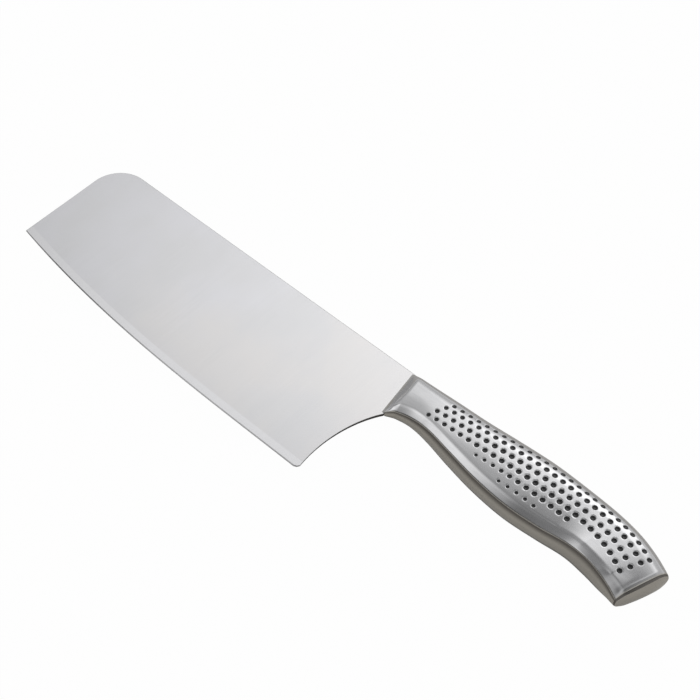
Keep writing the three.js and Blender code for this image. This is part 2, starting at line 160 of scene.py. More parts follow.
@named
class HandleSettings(bpy.types.PropertyGroup):
    """Sizes of the handle."""

    length: length("Neck to butt", 132.6)
    width: length("Scale of the handle's width", 30.4)
    thickness: length("Greatest thickness", 15.4)
    wall: length("Wall of the hollow shells", 1.4)
    belly_bulge: length("Bow of the belly face between its creases", 1.0)
    bulge_height: length("Crease height below which the bow grows less", 4.0)
    crown_share: share("Share of the side's fall that is a parabola", 0.5)
    band: length("Width of the shoulder band above the belly crease", 3.3)
    band_fall: length("Least drop of the band where the side falls enough", 1.2)
    band_soft: share("Softness of the band's upper border, by its width", 0.3)
    crease_round: length("Reach of the rounding at the belly crease", 0.45)
    neck_spine: length("Spine end of the neck line", 2.0)
    neck_belly: length("Belly end of the neck line", 5.5)
    neck_depth: length("Depth of the neck line", 22.8)
    neck_height: length("Half thickness at the neck line", 1.9)
    neck_crease: length("Crease height at the neck line", 1.52)
    weld_reach: length("How far the neck weld runs out on the blade", 1.35)
    seam_half: length("Half width of the seam beads", 0.4)
    seam_depth: length("Depth of the seam beads", 0.6)
    seam_gap: length("Hairline beside a bead", 0.006)
    roll_from: share("Where the crown starts to roll down to the butt", 0.975)
    roll_drop: share("Share of the crown's height that the roll takes away", 0.12)
    butt_rim: length("Thickness of the butt cap at its rim", 0.65)
    butt_taper: length("How far the cap's rim draws in", 0.35)
    butt_bead: length("Width of the weld between the shells and the cap", 0.2)
    butt_bulge: length("Bow of the butt's face", 1.3)
    butt_round: length("Rounding of the butt's edge", 0.12)


@named
class DimpleSettings(bpy.types.PropertyGroup):
    """Sizes of the grip dimples."""

    pitch: length("Spacing along a row", 4.01)
    diameter: length("Width of a dimple at the foot of its lip", 2.1)
    lip: length("Width of the rolled lip", 0.4)
    depth: length("Depth of a dimple", 0.68)
    fill_level: length("Enamel below the surface at its rim", 0.17)
    segments: IntProperty(description="Sides of a dimple", default=20, min=6)


@named
class FinishSettings(bpy.types.PropertyGroup):
    """Colours of the finishes."""

    blade: colour("Satin blade steel", (0.74, 0.74, 0.755))
    handle: colour("Satin handle steel", (0.66, 0.66, 0.67))
    # Painted shade: the belly strip is painted a darker brown-grey than the handle's steel.
    belly: colour("Plain belly strip", (0.58, 0.56, 0.515))
    # Painted shade: a near-black band painted in the belly's creases, on the butt's rim and weld,
    # and on the last rings by the butt.
    crease: colour("Dull metal in creases and joints", (0.16, 0.15, 0.14))
    # Partly a rough cut and partly painted shade: the blade's edge land, its heel and, in part, its
    # broken edges are painted dark.
    cut: colour("Rough cut faces of the blade", (0.10, 0.095, 0.09))
    weld: colour("Ground weld", (0.62, 0.62, 0.615))
    enamel: colour("Black fill of the dimples", (0.005, 0.005, 0.006))
    sand: colour("Balance sand", (0.55, 0.47, 0.33))
    floor: colour("Floor under the knife", (0.62, 0.595, 0.56))


# Node graphs

class Value:
    """A socket that takes part in sums: its operators add Math nodes to its graph."""

    def __init__(self, graph, socket):
        self.graph = graph
        self.socket = socket

    def of(self, operation, *others):
        """The result of a Math node on this value and others."""
        inputs = dict(enumerate((self, *others)))
        return self.graph.add("ShaderNodeMath", {"operation": operation}, inputs)

    def swapped(self, operation, other):
        """The result of a Math node with this value second."""
        return self.graph.add("ShaderNodeMath", {"operation": operation}, {0: other, 1: self})

    def __add__(self, other):
        return self.of("ADD", other)

    __radd__ = __add__

    def __sub__(self, other):
        return self.of("SUBTRACT", other)

    def __rsub__(self, other):
        return self.swapped("SUBTRACT", other)

    def __mul__(self, other):
        return self.of("MULTIPLY", other)

    __rmul__ = __mul__

    def __truediv__(self, other):
        return self.of("DIVIDE", other)


class Graph:
    """A node tree that is written from Python."""

    def __init__(self, tree):
        self.tree = tree

    def add(self, kind, settings=None, inputs=None, output=0):
        """Adds a node: its settings first, then its sockets' values or links."""
        node = self.tree.nodes.new(kind)
        for key, value in (settings or {}).items():
            setattr(node, key, value)
        for key, value in (inputs or {}).items():
            if isinstance(value, Value):
                self.tree.links.new(value.socket, node.inputs[key])
            else:
                node.inputs[key].default_value = value
        return Value(self, node.outputs[output]) if len(node.outputs) else node

    def mix(self, factor, first, second):
        """A colour between two colours."""
        return self.add(
            "ShaderNodeMix", {"data_type": "RGBA"}, {0: factor, 6: first, 7: second}, output=2
        )

    def smooth(self, value, low, high, start=0.0, end=1.0):
        """A soft step from start to end as the value goes from low to high."""
        inputs = {"Value": value, "From Min": low, "From Max": high, "To Min": start, "To Max": end}
        return self.add("ShaderNodeMapRange", {"interpolation_type": "SMOOTHSTEP"}, inputs)

    def spot(self):
        """The place on the piece, in metres."""
        return self.add("ShaderNodeTexCoord", output="Object")

    def axes(self, place):
        """The X, Y and Z of a place or a direction."""
        node = self.add("ShaderNodeSeparateXYZ", None, {0: place}).socket.node
        return [Value(self, node.outputs[axis]) for axis in "XYZ"]

    def noise(self, place, scale, detail=2.0, roughness=0.5):
        """Noise with its own scale along each axis, from 0 to 1."""
        stretched = self.add("ShaderNodeMapping", None, {"Vector": place, "Scale": scale})
        inputs = {"Vector": stretched, "Scale": 1.0, "Detail": detail, "Roughness": roughness}
        return self.add("ShaderNodeTexNoise", None, inputs)

    def attribute(self, name):
        """A number kept on the piece's mesh."""
        return self.add("ShaderNodeAttribute", {"attribute_name": name}, output="Fac")

    def bump(self, height, distance, strength=1.0):
        """A surface relief of that height in metres."""
        inputs = {"Height": height, "Distance": distance, "Strength": strength}
        return self.add("ShaderNodeBump", None, inputs)


def finish_graph(name):
    """A new material's empty graph."""
    material = bpy.data.materials.new(name)
    material.use_nodes = True
    material.node_tree.nodes.clear()
    return material, Graph(material.node_tree)


def opaque(shade):
    """A colour with full alpha."""
    return (*shade, 1.0)


def scaled(shade, *factors):
    """A colour with its channels multiplied."""
    factors = factors if len(factors) == 3 else factors * 3
    return opaque([value * factor for value, factor in zip(shade, factors)])


def blade_finish(graph, finishes):
    """Satin steel brushed across the blade, with faint stains, a honed band at the edge, and
    painted shade on its cut faces.
    """
    place = graph.spot()
    grain = graph.noise(place, (5200.0, 90.0, 300.0), 3.0, 0.6)
    lines = graph.noise(place, (900.0, 14.0, 60.0), 2.0, 0.5)
    stains = graph.noise(place, (26.0, 19.0, 10.0), 3.0, 0.55)
    across = graph.axes(place)[0]
    warmth = graph.noise(place, (17.0, 23.0, 10.0), 2.0, 0.5) - 4.0 * (across + 0.06)
    hone = graph.smooth(graph.attribute("edge_reach"), 4.2 * MM, 3.2 * MM)
    base = finishes.blade
    warm, cool = scaled(base, 1.0, 0.985, 0.965), scaled(base, 0.985, 0.985, 1.0)
    tint = graph.mix(graph.smooth(warmth, 0.35, 0.65), warm, cool)
    stained = graph.mix(graph.smooth(stains, 0.38, 0.68), tint, scaled(base, 0.955))
    honed = graph.mix(hone, stained, scaled(base, 1.03))
    # The cut number roughens the edge land, the heel and the broken edges, and darkens them with
    # painted shade.
    cut = graph.attribute("cut")
    shade = graph.mix(cut, honed, opaque(finishes.cut))
    rough = 0.14 + 0.07 * grain + 0.05 * lines - 0.03 * hone + 0.3 * cut
    relief = graph.bump(grain + 0.6 * lines, 0.003 * MM, 0.5)
    return {"Base Color": shade, "Metallic": 1.0, "Roughness": rough, "Normal": relief}


def handle_finish(graph, finishes):
    """Satin steel of the pressed shells, with a rougher belly strip painted a darker brown-grey as
    painted shade, and a dark painted shade in its creases.
    """
    place = graph.spot()
    grain = graph.noise(place, (2600.0, 2600.0, 2600.0), 3.0, 0.6)
    streaks = graph.noise(place, (160.0, 900.0, 900.0), 3.0, 0.55)
    cloud = graph.noise(place, (60.0, 90.0, 90.0), 2.0, 0.5)
    belly = graph.attribute("belly")
    base = finishes.handle
    shade = graph.mix(graph.smooth(cloud, 0.3, 0.7), opaque(base), scaled(base, 0.95))
    streak = scaled(base, 0.92, 0.92, 0.925)
    streaked = graph.mix(graph.smooth(streaks, 0.45, 0.75), shade, streak)
    # The belly number mixes in painted shade: the belly strip's brown-grey, then the crease's near
    # black.
    strip = graph.mix(belly * 2.0, streaked, opaque(finishes.belly))
    body = graph.mix(belly * 2.0 - 1.0, strip, opaque(finishes.crease))
    rough = 0.1 + 0.06 * grain + 0.05 * streaks + 0.12 * belly
    relief = graph.bump(grain + streaks, 0.002 * MM, 0.5)
    return {"Base Color": body, "Metallic": 1.0, "Roughness": rough, "Normal": relief}


def weld_finish(graph, finishes):
    """Weld steel ground flush, with fine cross scratches and a faint heat tint."""
    place = graph.spot()
    grain = graph.noise(place, (4200.0, 300.0, 300.0), 3.0, 0.6)
    heat = graph.noise(place, (90.0, 120.0, 120.0), 2.0, 0.5)
    base = finishes.weld
    heated = scaled(base, 0.93, 0.9, 0.85)
    shade = graph.mix(graph.smooth(heat, 0.35, 0.7), opaque(base), heated)
    rough = 0.27 + 0.12 * grain
    relief = graph.bump(grain, 0.003 * MM, 0.6)
    return {"Base Color": shade, "Metallic": 1.0, "Roughness": rough, "Normal": relief}


def enamel_finish(graph, finishes):
    """Black enamel with a little dust and flow in its gloss."""
    place = graph.spot()
    flow = graph.noise(place, (700.0, 700.0, 700.0), 2.0, 0.5)
    dust = graph.noise(place, (4200.0, 4200.0, 4200.0), 2.0, 0.5)
    base = finishes.enamel
    dusty = scaled(base, 2.6, 2.5, 2.4)
    shade = graph.mix(graph.smooth(dust, 0.55, 0.8), opaque(base), dusty)
    rough = 0.1 + 0.1 * flow
    relief = graph.bump(flow, 0.01 * MM, 0.3)
    return {"Base Color": shade, "Roughness": rough, "Normal": relief}


def sand_finish(graph, finishes):
    """Loose pale grains."""
    place = graph.spot()
    inputs = {"Vector": place, "Scale": 2600.0}
    grains = graph.add("ShaderNodeTexVoronoi", None, inputs, output="Distance")
    mixed = graph.noise(place, (1900.0, 1900.0, 1900.0), 2.0, 0.6)
    shade = graph.mix(mixed, scaled(finishes.sand, 0.7), scaled(finishes.sand, 1.25, 1.2, 1.1))
    relief = graph.bump(1.0 - grains, 0.3 * MM, 0.8)
    return {"Base Color": shade, "Roughness": 0.85 + 0.1 * mixed, "Normal": relief}


FINISHES = {
    "satin_blade_steel": blade_finish,
    "satin_handle_steel": handle_finish,
    "ground_weld_steel": weld_finish,
    "black_dimple_enamel": enamel_finish,
    "balance_sand_grains": sand_finish,
}


def finish(name):
    """A finish by its name, made as a Principled surface at its first use."""
    material = bpy.data.materials.get(name)
    if not material:
        material, graph = finish_graph(name)
        inputs = FINISHES[name](graph, bpy.context.scene.knife_finish)
        surface = graph.add("ShaderNodeBsdfPrincipled", None, inputs)
        graph.add("ShaderNodeOutputMaterial", None, {"Surface": surface})
    return material


# Mesh helpers

def origin():
    """The spine end of the neck in the part's frame: the knife's own drawing origin."""
    blade = bpy.context.scene.knife_blade
    middle = (CAD_LOW.z + CAD_HIGH.z) / 2
    return np.array((CAD_LOW.x + blade.length, CAD_LOW.y + blade.depth, middle))


# Degrees past which an edge stays crisp.
BLADE_SHARP, WELD_SHARP, BUTT_SHARP, SHELL_SHARP = 4, 35, 24, 26

# Points nearer to each other than this are one point.
TOUCH = 0.0002 * MM


def face_outward(mesh, weld=False):
    """Turns every face outward, after joining points that all but touch if asked."""
    form = bmesh.new()
    form.from_mesh(mesh)
    if weld:
        bmesh.ops.remove_doubles(form, verts=form.verts, dist=TOUCH)
    bmesh.ops.recalc_face_normals(form, faces=form.faces)
    form.to_mesh(mesh)
    form.free()


def make_piece(name, points, faces, material, sharp=None):
    """A mesh object at the origin from points in the drawing frame."""
    mesh = bpy.data.meshes.new(name)
    mesh.from_pydata((np.asarray(points) + origin()).tolist(), [], faces)
    mesh.materials.append(material)
    mesh.validate()
    face_outward(mesh)
    mesh.polygons.foreach_set("use_smooth", [True] * len(mesh.polygons))
    if sharp is not None:
        mesh.set_sharp_from_angle(angle=math.radians(sharp))
    piece = bpy.data.objects.new(name, mesh)
    bpy.context.scene.collection.objects.link(piece)
    return piece


def settle(piece, slot, *nodes):
    """Sets a finished piece on the body and hides the solids that it stands for; the slot is not
    used.
    """
    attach(piece, BODY)
    if nodes:
        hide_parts(*nodes)
    return piece


def keep_number(piece, name, values, domain="POINT"):
    """Keeps a number for each point, or each face, on the piece's mesh."""
    store = piece.data.attributes.new(name, "FLOAT", domain)
    store.data.foreach_set("value", np.asarray(values, dtype=np.float32))


def ring_faces(rings, count, first=0, closed=True):
    """Quads between rings of equal count, numbered ring after ring."""
    faces = []
    for ring in range(rings - 1):
        for index in range(count if closed else count - 1):
            a = first + ring * count + index
            b = first + ring * count + (index + 1) % count
            faces.append((a, b, b + count, a + count))
    return faces


def capped(rings):
    """A bar through rings of points, with a face at each end."""
    count = len(rings[0])
    last = (len(rings) - 1) * count
    ends = [tuple(range(count)), tuple(range(last, last + count))]
    return np.concatenate(rings), ring_faces(len(rings), count) + ends


def plain_mesh(piece):
    """Turns a piece's modifiers into plain mesh."""
    graph = bpy.context.evaluated_depsgraph_get()
    mesh = bpy.data.meshes.new_from_object(piece.evaluated_get(graph))
    face_outward(mesh, weld=True)
    piece.modifiers.clear()
    old = piece.data
    piece.data = mesh
    mesh.name = piece.name
    bpy.data.meshes.remove(old)


def bezier(points, steps):
    """Points on a Bezier curve of any degree."""
    t = np.linspace(0, 1, steps)[:, None]
    level = [np.asarray(point, float) for point in points]
    while len(level) > 1:
        level = [(1 - t) * a + t * b for a, b in zip(level, level[1:])]
    return level[0]


def spline(values, t):
    """A smooth curve through evenly spaced values, at a share of the way along."""
    last = len(values) - 1
    i = min(int(t * last), last - 1)
    w = t * last - i
    before, here = values[max(i - 1, 0)], values[i]
    then, after = values[i + 1], values[min(i + 2, last)]
    start, end = (then - before) / 2, (after - here) / 2
    cube = 2 * here - 2 * then + start + end
    square = 3 * then - 3 * here - 2 * start - end
    return cube * w ** 3 + square * w ** 2 + start * w + here


def walk(line):
    """How far along a line each of its points lies."""
    steps = np.linalg.norm(np.diff(line, axis=0), axis=1)
    return np.concatenate(((0,), np.cumsum(steps)))


def read_off(values, walked, marks):
    """Values kept along a line, at distances along it."""
    return np.stack([np.interp(marks, walked, column) for column in values.T], axis=-1)


def resample(line, marks):
    """Points of a line at shares of its length."""
    walked = walk(line)
    return read_off(line, walked, np.asarray(marks) * walked[-1])


# Blade

# Share of the rough-cut look, a rougher surface and a colour darkened as painted shade, on the
# narrow faces along the blade's borders, and how far those faces fall as a share of their width.
BROKEN_EDGE_CUT_SHADE, BROKEN_EDGE_FALL = 0.35, 0.4


def edge_height(blade, x):
    """Height of the cutting edge at a place along the blade."""
    low = -blade.edge_low_point * blade.length
    run = np.maximum(0, low - x) / (blade.length + low)
    return -blade.depth + blade.edge_rise * run ** blade.edge_sweep


def edge_line(blade):
    """The cutting edge from the heel to the tip."""
    heel = -blade.heel_setback
    turn = np.linspace(math.pi / 2 * blade.heel_turn, 0, 8)[:-1]
    corner = np.stack((
        heel - blade.heel_radius * (1 - np.sin(turn)),
        -blade.depth + blade.heel_radius * (1 - np.cos(turn)),
    ), axis=1)
    x = np.linspace(heel - blade.heel_radius, -blade.length, 160)
    return np.concatenate((corner, np.stack((x, edge_height(blade, x)), axis=1)))


def border_marks(size, rim, count):
    """Shares along a side with one narrow step at each end."""
    inner = np.linspace(rim / size, 1 - rim / size, count)
    return np.concatenate(((0,), inner, (1,)))


def blade_sheet(blade, handle):
    """The blade's outline as a grid of points, from the edge to the spine."""
    edge = edge_line(blade)
    neck = np.array((handle.neck_belly, -handle.neck_depth))
    top = np.array((handle.neck_spine, 0))
    heel = edge[0]
    hollow = bezier((heel, heel + blade.heel_arm, neck + blade.neck_arm, neck), 60)
    turn = np.linspace(math.pi / 2, math.pi, 40)
    arc = np.stack((
        blade.tip_radius * (1 + np.cos(turn)) - blade.length,
        blade.tip_radius * (np.sin(turn) - 1),
    ), axis=1)
    spine = np.concatenate(((top,), arc))
    back = np.concatenate((hollow, (top,)))
    tip = np.array((edge[-1], spine[-1]))
    along = border_marks(blade.length, blade.edge_break, 150)
    up = np.concatenate((
        (0, blade.bevel_width / blade.depth),
        np.linspace(2.5 * blade.bevel_width, blade.depth - blade.edge_break, 42) / blade.depth,
        (1,),
    ))
    low, high = resample(edge, along), resample(spine, along)
    near, far = resample(back, up), resample(tip, up)
    s, t = along[:, None, None], up[None, :, None]
    ruled = (1 - t) * low[:, None] + t * high[:, None]
    sided = (1 - s) * near[None] + s * far[None]
    lower = (1 - s) * low[0] + s * low[-1]
    upper = (1 - s) * high[0] + s * high[-1]
    corners = (1 - t) * lower + t * upper
    return ruled + sided - corners


def blade_half(blade, y):
    """Half the blade's thickness at a height."""
    fall = (blade.spine_thickness - blade.edge_thickness) / 2 / blade.depth
    return blade.spine_thickness / 2 + fall * np.minimum(y, 0)


def build_blade(blade, handle):
    """The blade: flat-ground sides, a narrow edge bevel and broken edges all round."""
    sheet = blade_sheet(blade, handle)
    columns, rows = sheet.shape[:2]
    half = blade_half(blade, sheet[..., 1])
    half[[0, -1], :] -= BROKEN_EDGE_FALL * blade.edge_break
    half[:, -1] -= BROKEN_EDGE_FALL * blade.edge_break
    half[:, 0] = blade.edge_land / 2
    side = np.concatenate((sheet, half[..., None]), axis=2).reshape(-1, 3)
    points = np.concatenate((side, side * (1, 1, -1)))
    count = columns * rows
    faces, cut_and_shade = [], []
    for i in range(columns - 1):
        for j in range(rows - 1):
            a = i * rows + j
            quad = (a, a + 1, a + rows + 1, a + rows)
            faces += [quad, tuple(count + k for k in reversed(quad))]
            # Narrow border faces of the sides take a share of the cut's painted shade and
            # roughness.
            border = i in (0, columns - 2) or j in (0, rows - 2)
            cut_and_shade += [BROKEN_EDGE_CUT_SHADE * border] * 2
    loop = [i * rows for i in range(columns)]
    loop += [(columns - 1) * rows + j for j in range(1, rows)]
    loop += [i * rows + rows - 1 for i in range(columns - 2, -1, -1)]
    loop += [j for j in range(rows - 2, 0, -1)]
    for a, b in zip(loop, loop[1:] + loop[:1]):
        faces.append((count + a, count + b, b, a))
    # The edge land and the heel take all of the cut's painted shade, the tip and the spine a share
    # of it.
    upper = columns + rows - 2
    cut_and_shade += [1.0] * (columns - 1) + [BROKEN_EDGE_CUT_SHADE] * upper
    cut_and_shade += [1.0] * (len(faces) - len(cut_and_shade))
    piece = make_piece("blade_satin", points, faces, finish("satin_blade_steel"), sharp=BLADE_SHARP)
    reach = sheet[..., 1] - edge_height(blade, sheet[..., 0])
    keep_number(piece, "edge_reach", np.tile(reach.ravel(), 2))
    keep_number(piece, "cut", cut_and_shade, "FACE")
    return piece


# Handle form

class Section:
    """One cross-section of the handle: where it sits and how its half outline stands."""

    def __init__(self, row):
        reach = row[2:4] - row[0:2]
        self.spine = row[0:2]
        self.width = math.hypot(*reach)
        self.across = reach / self.width
        self.along = np.array((-self.across[1], self.across[0]))
        self.crest, self.shoulder, self.back = row[4:7]

    def place(self, outline, offset=0.0):
        """Outline points, across and up, in the drawing frame."""
        outline = np.asarray(outline)
        offset = np.broadcast_to(offset, outline.shape[:1])[:, None]
        plan = self.spine + outline[:, :1] * self.across + offset * self.along
        return np.concatenate((plan, outline[:, 1:]), axis=1)


STEPS = {"spine": 20, "side": 44, "crease": 7, "belly": 12}

# Where the crease lies lower than this share of the crown, the band's border grows softer.
LOW_CREASE, LOW_CREASE_RUN, LOW_CREASE_SOFT = 0.5, 0.2, 0.9

# Least crease and crown distances that an inset leaves, the crease rounding's most, and the
# band's most, as shares of the section's own.
LEAST_CREASE, LEAST_BACK, MOST_ROUND, MOST_BAND = 0.4, 0.5, 0.45, 0.85

# How far from the crease to the seam the crease's painted shade reaches on the belly strip.
CREASE_SHADE_SHARE = 0.75

# Belly numbers of the shells' last rings, where painted shade grows darker towards the butt.
BUTT_SHADE = (0.15, 0.32, 0.52, 0.8)


def soft_ramp(x, soft):
    """A ramp that is 0 below 0 and climbs with x above it, with a soft bend between."""
    return np.where(np.abs(x) < soft, (x + soft) ** 2 / (4 * soft), np.maximum(x, 0))


def half_outline(handle, section, inset=0.0, foot=0.0, steps=STEPS):
    """Half a section from the spine to the belly, as points across and up."""
    crest = section.crest - inset
    shoulder = max(section.shoulder - inset, LEAST_CREASE * section.shoulder)
    back = max(section.back - inset, LEAST_BACK * section.back)
    width = section.width - 2 * inset
    bulge = handle.belly_bulge * min(1, shoulder / handle.bulge_height)
    angle = np.linspace(math.asin(foot / crest), math.pi / 2, steps["spine"] + 1)
    spine = np.stack((back * (1 - np.cos(angle)), crest * np.sin(angle)), axis=1)
    t = np.linspace(0, 1, 240)
    side_width = width - bulge - back
    low = np.clip((LOW_CREASE - section.shoulder / section.crest) / LOW_CREASE_RUN, 0, 1)
    soft = handle.band_soft + (LOW_CREASE_SOFT - handle.band_soft) * low
    bend = soft_ramp(1 - (1 - t) * side_width / handle.band, soft)
    fall = crest - shoulder
    band_fall = max((1 - handle.crown_share) * fall, min(MOST_BAND * fall, handle.band_fall))
    drop = (fall - band_fall) * t ** 2 + band_fall * bend
    side = np.stack((back + side_width * t, crest - drop), axis=1)
    z = np.linspace(shoulder, foot, 60)
    belly = np.stack((width - bulge * (z / shoulder) ** 2, z), axis=1)
    reach = min(handle.crease_round, MOST_ROUND * shoulder)
    side_length, belly_length = walk(side)[-1], walk(belly)[-1]
    marks = np.linspace(0, 1, steps["side"] + 1)
    marks = (0.5 * marks + 0.5 * np.sin(marks * math.pi / 2)) * (1 - reach / side_length)
    side = np.concatenate((resample(side, marks), side[-1:]))
    belly = resample(belly, np.linspace(reach / belly_length, 1, steps["belly"] + 1))
    crease = bezier((side[-2], side[-1], belly[0]), steps["crease"] + 2)[1:-1]
    return np.concatenate((spine, side[1:-1], crease, belly)) + (inset, 0)


def belly_share(steps=STEPS):
    """The belly number of each outline point, which sets its painted shade: 0 on the side, 1 in the
    crease, 0.5 at the seam.
    """
    plain = np.zeros(steps["spine"] + steps["side"] + 1)
    crease = np.linspace(0, 1, steps["crease"] + 2)[1:-1]
    depth = np.clip(np.linspace(0, 1, steps["belly"] + 1) / CREASE_SHADE_SHARE, 0, 1)
    return np.concatenate((plain, crease, 1 - 0.5 * depth * depth * (3 - 2 * depth)))


# Rings on the neck's ramp, its rounded top, the grip and the roll down to the butt; where the
# ramp ends on its way to the first station, and where the top ends on the grip.
RAMP_RINGS, TOP_RINGS, GRIP_RINGS, ROLL_RINGS = 10, 10, 190, 9
RAMP_END, TOP_END = 0.72, 0.016


class HandleForm:
    """The handle's sections from the neck line to the butt."""

    def __init__(self, handle):
        half = handle.thickness / 2
        units = (handle.length, handle.width, handle.length, handle.width, half, half, half)
        self.handle = handle
        self.table = STATIONS * units
        self.front = np.array((
            handle.neck_spine, 0, handle.neck_belly, -handle.neck_depth,
            handle.neck_height, handle.neck_crease, handle.neck_crease,
        ))

    def row(self, u):
        """The section's numbers at a share of the way from the first station to the butt."""
        row = spline(self.table, u)
        start = self.handle.roll_from
        row[4] *= 1 - self.handle.roll_drop * (max(0, u - start) / (1 - start)) ** 2
        return row

    def section(self, u):
        """The section at a share of the way from the first station to the butt."""
        return Section(self.row(u))

    def rows(self):
        """Rows along the handle: the neck's ramp, its rounded top, and the grip."""
        first, roll = self.table[0], self.handle.roll_from
        climb = np.linspace(0, RAMP_END, RAMP_RINGS)[:, None]
        ramp = self.front + climb * (first - self.front)
        top = bezier((ramp[-1], first, self.row(TOP_END)), TOP_RINGS)[1:-1]
        grip = np.linspace(TOP_END, roll, GRIP_RINGS)
        shares = np.concatenate((grip, np.linspace(roll, 1, ROLL_RINGS)[1:]))
        return np.concatenate((ramp, top, [self.row(u) for u in shares]))


# Handle shells

# Half the room that the shells leave for the tang.
TANG_CLEAR = 1.15 * MM


def build_shell(form, cutters):
    """One pressed half shell: outer skin and wall, with the dimples cut."""
    handle = form.handle
    foot = handle.seam_half + handle.seam_gap
    rings = []
    for section in map(Section, form.rows()):
        wall = min(handle.wall, section.crest - TANG_CLEAR)
        outer = half_outline(handle, section, 0.0, foot)
        inner = half_outline(handle, section, wall, foot)
        outline = np.concatenate((outer, inner[::-1]))
        rings.append(section.place(outline))
    count = len(rings[0])
    points = np.concatenate(rings)
    faces = ring_faces(len(rings), count)
    last = (len(rings) - 1) * count
    half = count // 2
    for i in range(half - 1):
        j = count - 1 - i
        faces.append((i, i + 1, j - 1, j))
        faces.append((last + j, last + j - 1, last + i + 1, last + i))
    piece = make_piece("handle_shell_cut", points, faces, finish("satin_handle_steel"))
    # Belly numbers set painted shade: brown-grey on the belly strip, darkest in the crease and on
    # the last rings by the butt.
    strips = np.zeros((len(rings), count))
    strips[:, :half] = belly_share()
    ends = strips[-len(BUTT_SHADE):, :half]
    ends[:] = np.maximum(ends, np.array(BUTT_SHADE)[:, None])
    keep_number(piece, "belly", strips.ravel())
    cut = piece.modifiers.new("dimples", "BOOLEAN")
    cut.operation = "DIFFERENCE"
    cut.solver = "MANIFOLD"
    cut.object = cutters
    plain_mesh(piece)
    return piece


def surface_spot(form, u, distance):
    """A place on the left side that far round from the spine seam, and one a little further on."""
    section = form.section(u)
    line = half_outline(form.handle, section)
    return section.place(read_off(line, walk(line), (distance, distance + 0.2 * MM)))


def dimple_spots(form, pitch):
    """Each dimple on the left side: its place, the surface's outward direction and its size."""
    spots = []
    samples = np.linspace(0, 1, 121)
    for first, last, distances, sizes in DIMPLE_ROWS:
        track = np.array([
            surface_spot(form, first + (last - first) * t, spline(np.array(distances) * MM, t))
            for t in samples
        ])
        places = track[:, 0]
        walked = walk(places)
        facings = np.cross(track[:, 1] - places, np.gradient(places, axis=0))
        facings *= np.sign(facings[:, 2:])
        count = round(walked[-1] / pitch) + 1
        marks = np.linspace(0, walked[-1], count)
        for mark in marks:
            place, facing = read_off(places, walked, mark), read_off(facings, walked, mark)
            size = spline(np.array(sizes), mark / walked[-1])
            spots.append((place, facing / np.linalg.norm(facing), size))
    return spots


def turned(spots, profile, segments):
    """Bodies turned from one profile at every spot; the profile runs from the axis to the axis."""
    points, faces = [], []
    angles = np.arange(segments) * 2 * math.pi / segments
    for place, facing, size in spots:
        side = np.cross(facing, (1, 0, 0))
        side /= np.linalg.norm(side)
        other = np.cross(facing, side)
        first = len(points)
        points.append(place + size * facing * profile[0][1])
        for radius, height in profile[1:-1]:
            ring = np.cos(angles)[:, None] * side + np.sin(angles)[:, None] * other
            points.extend(place + size * (facing * height + radius * ring))
        points.append(place + size * facing * profile[-1][1])
        end = len(points) - 1
        rings = len(profile) - 2
        for i in range(segments):
            j = (i + 1) % segments
            faces.append((first, first + 1 + i, first + 1 + j))
            final = first + 1 + (rings - 1) * segments
            faces.append((end, final + j, final + i))
        faces.extend(ring_faces(rings, segments, first + 1))
    return np.array(points), faces


def pit_profile(dimple):
    """A dimple's cut: rolled lip, steep wall and dished floor, from above to below."""
    radius, lip, depth = dimple.diameter / 2, dimple.lip, dimple.depth
    above = 0.3 * MM
    return (
        (0, above),
        (radius + lip + 2 * above, above),
        (radius + lip, 0),
        (radius + 0.55 * lip, -0.07 * lip),
        (radius + 0.22 * lip, -0.22 * lip),
        (radius, -0.48 * lip),
        (0.9 * radius, -0.72 * depth),
        (0.5 * radius, -0.95 * depth),
        (0, -depth),
    )


